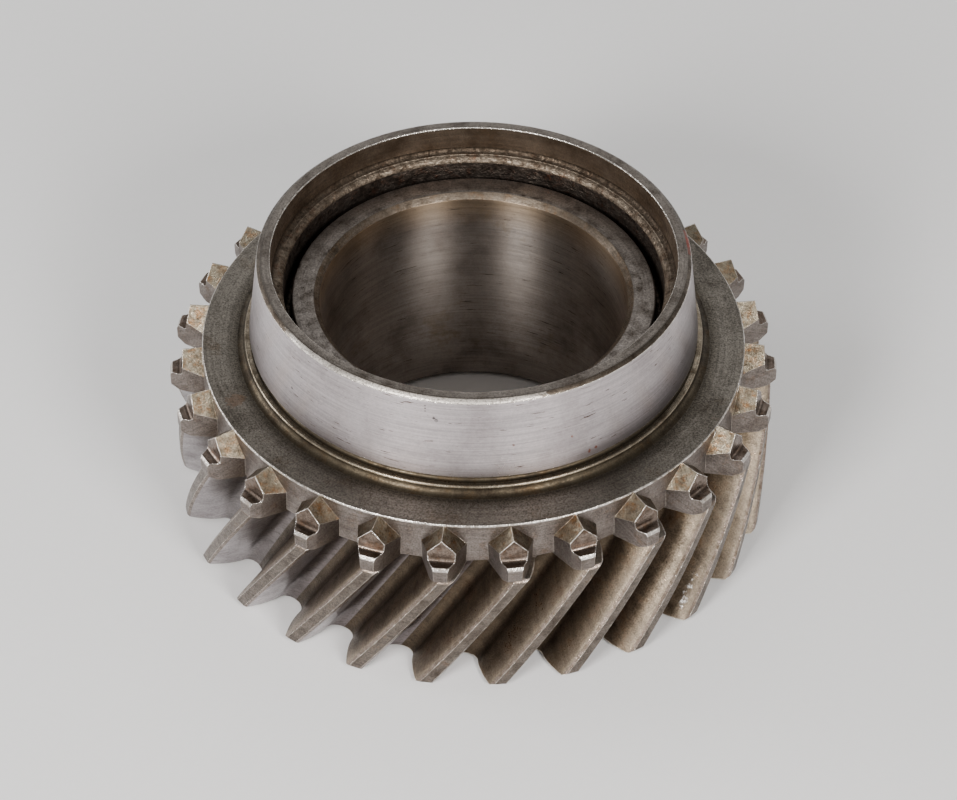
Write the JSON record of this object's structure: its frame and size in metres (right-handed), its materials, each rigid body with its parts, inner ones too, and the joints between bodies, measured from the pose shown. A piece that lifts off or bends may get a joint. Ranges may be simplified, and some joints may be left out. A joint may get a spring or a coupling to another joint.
{
  "type": "transmission gear",
  "caption": "One-piece helical gear with a ring of dog teeth, a thin synchroniser cone and a hub round a large plain bore.",
  "frame": {"origin": "centre of the bore in the hub's thrust face, which is the face that the gear lies on", "axes": "+Z along the bore axis, from the helical teeth up to the rim of the synchroniser cone; +X through the middle of one dog tooth"},
  "size_m": [0.1367, 0.137, 0.0679],
  "materials": {
    "gear_steel": "worn, oily case-hardened steel, ground on the cone and the lands of the teeth"
  },
  "bodies": {
    "root": {"mainshaft_gear": "gear_steel"}
  },
  "joints": []
}
